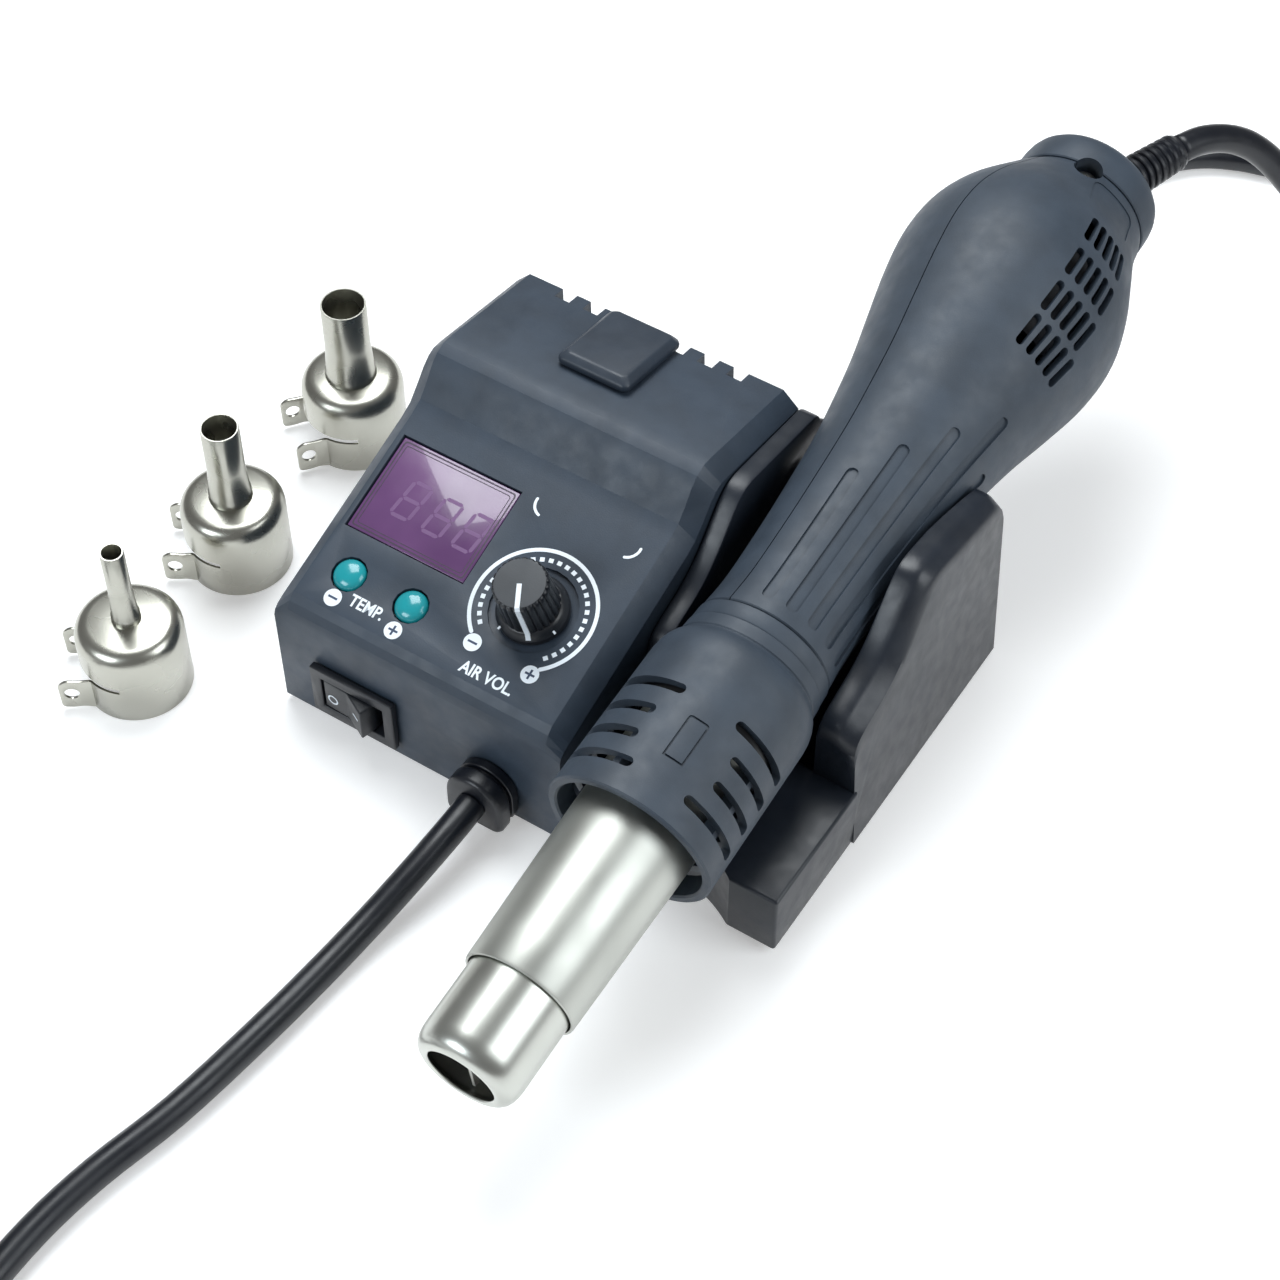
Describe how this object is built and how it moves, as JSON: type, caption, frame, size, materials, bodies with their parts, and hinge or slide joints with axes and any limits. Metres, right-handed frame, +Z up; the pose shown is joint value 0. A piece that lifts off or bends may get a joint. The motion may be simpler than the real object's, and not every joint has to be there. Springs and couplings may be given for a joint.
{
  "type": "hot air rework station",
  "caption": "Hot air rework station: sloped control box with display, knob and rocker, a side cradle holding a hot air handle, and loose nozzles.",
  "frame": {"origin": "bottom centre of the station, the handle in its cradle and the loose nozzles, free cords left out, on the surface they stand on", "axes": "+Z up, -Y the front with the power switch, +X the side with the cradle"},
  "size_m": [0.287, 0.5243, 0.0794],
  "materials": {
    "housing_plastic": "fine moulded texture, dark slate",
    "cradle_plastic": "satin black",
    "handle_plastic": "fine moulded texture, dark grey",
    "knob_plastic": "satin black",
    "black_plastic": "satin black",
    "pad_rubber": "satin",
    "foot_rubber": "matte",
    "cord_rubber": "satin",
    "button_teal": "gloss",
    "display_lens": "smoked lens",
    "circuit_board": "solder mask",
    "zinc_steel": "zinc plated",
    "barrel_steel": "satin stainless steel",
    "nose_steel": "heat-tinted stainless steel",
    "heater_ceramic": "unglazed ceramic and mica",
    "nozzle_nickel": "polished stainless steel"
  },
  "bodies": {
    "station": {"base_plate": "housing_plastic", "base_screw_1": "zinc_steel", "base_screw_2": "zinc_steel", "base_screw_3": "zinc_steel", "base_screw_4": "zinc_steel", "cable_coil": "cord_rubber", "cable_gland": "cord_rubber", "control_board": "circuit_board", "cord_bush": "cord_rubber", "cradle": "cradle_plastic", "cradle_base": "cradle_plastic", "cradle_screw_1": "zinc_steel", "cradle_screw_2": "zinc_steel", "display_module": "black_plastic", "display_window": "display_lens", "foot_1": "foot_rubber", "foot_2": "foot_rubber", "foot_3": "foot_rubber", "foot_4": "foot_rubber", "handle_cable": "cord_rubber", "housing": "housing_plastic", "mains_coil": "cord_rubber", "mains_cord": "cord_rubber", "mains_plug": "cord_rubber", "mains_tail": "cord_rubber", "pot_body": "zinc_steel", "power_board": "circuit_board", "reed_switch": "circuit_board", "return_cable": "cord_rubber", "switch_housing": "black_plastic", "tact_switch_minus": "black_plastic", "tact_switch_plus": "black_plastic", "top_pad": "pad_rubber"},
    "knob": {"knob": "knob_plastic", "pot_shaft": "zinc_steel"},
    "button_minus": {"button_minus": "button_teal"},
    "button_plus": {"button_plus": "button_teal"},
    "rocker": {"rocker": "black_plastic"},
    "handle": {"shell_vented": "handle_plastic", "shell_plain": "handle_plastic", "guard": "handle_plastic", "steel_tube": "barrel_steel", "nose_sleeve": "nose_steel", "heat_collar": "black_plastic", "heater_core": "heater_ceramic", "mica_cross": "heater_ceramic", "end_cap": "handle_plastic", "cap_screw": "zinc_steel", "strain_relief": "cord_rubber", "fan_casing": "black_plastic", "fan_motor": "zinc_steel", "handle_board": "circuit_board", "magnet": "zinc_steel"},
    "fan": {"impeller": "black_plastic"},
    "nozzle_small": {"nozzle_small": "nozzle_nickel"},
    "nozzle_medium": {"nozzle_medium": "nozzle_nickel"},
    "nozzle_large": {"nozzle_large": "nozzle_nickel"}
  },
  "joints": [
    {"name": "knob_turn", "type": "hinge", "parent": "station", "child": "knob", "pos_m": [0.01502, -0.04276, 0.04123], "axis": [0, -0.3123, 0.95], "range_deg": [0, 300]},
    {"name": "button_minus_press", "type": "slide", "parent": "station", "child": "button_minus", "axis": [0, 0.3123, -0.95], "range_m": [0, 0.0008], "stiffness_N_per_m": 300},
    {"name": "button_plus_press", "type": "slide", "parent": "station", "child": "button_plus", "axis": [0, 0.3123, -0.95], "range_m": [0, 0.0008], "stiffness_N_per_m": 300},
    {"name": "rocker_tilt", "type": "hinge", "parent": "station", "child": "rocker", "pos_m": [-0.01588, -0.06171, 0.01215], "axis": [0, 0, 1], "range_deg": [0, 30]},
    {"name": "handle_lift", "type": "slide", "parent": "station", "child": "handle", "axis": [0, -0.1162, 0.9932], "range_m": [0, 0.065]},
    {"name": "fan_spin", "type": "hinge", "parent": "handle", "child": "fan", "pos_m": [0.05922, 0.06889, 0.05176], "axis": [0, 0.9932, 0.1162], "continuous": true},
    {"name": "nozzle_small_lift", "type": "slide", "parent": "station", "child": "nozzle_small", "axis": [0, 0, 1], "range_m": [0, 0.05]},
    {"name": "nozzle_medium_lift", "type": "slide", "parent": "station", "child": "nozzle_medium", "axis": [0, 0, 1], "range_m": [0, 0.05]},
    {"name": "nozzle_large_lift", "type": "slide", "parent": "station", "child": "nozzle_large", "axis": [0, 0, 1], "range_m": [0, 0.05]}
  ]
}
